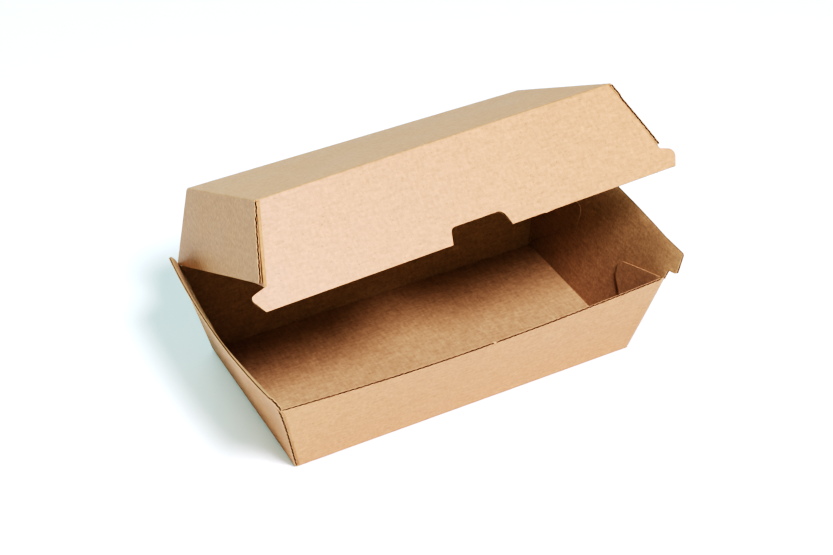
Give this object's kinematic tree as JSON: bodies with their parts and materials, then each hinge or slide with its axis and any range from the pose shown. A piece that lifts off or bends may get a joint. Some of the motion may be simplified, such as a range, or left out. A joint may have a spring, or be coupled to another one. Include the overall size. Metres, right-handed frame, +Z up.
{
  "type": "takeaway box",
  "caption": "Folded corrugated card takeaway box with sloping walls and a hinged lid that stands half open.",
  "frame": {"origin": "centre of the bottom panel's underside, on the table", "axes": "+X to the right along the box's length, -Y towards the front rim where the lid opens, +Z up"},
  "size_m": [0.2119, 0.1237, 0.1284],
  "materials": {
    "kraft_board": "matte"
  },
  "bodies": {
    "tray": {"tray": "kraft_board"},
    "lid": {"lid": "kraft_board"}
  },
  "joints": [
    {"name": "lid_hinge", "type": "hinge", "parent": "tray", "child": "lid", "pos_m": [0, 0.05633, 0.0469], "axis": [-1, 0, 0], "range_deg": [-31.2, 148.8]}
  ]
}
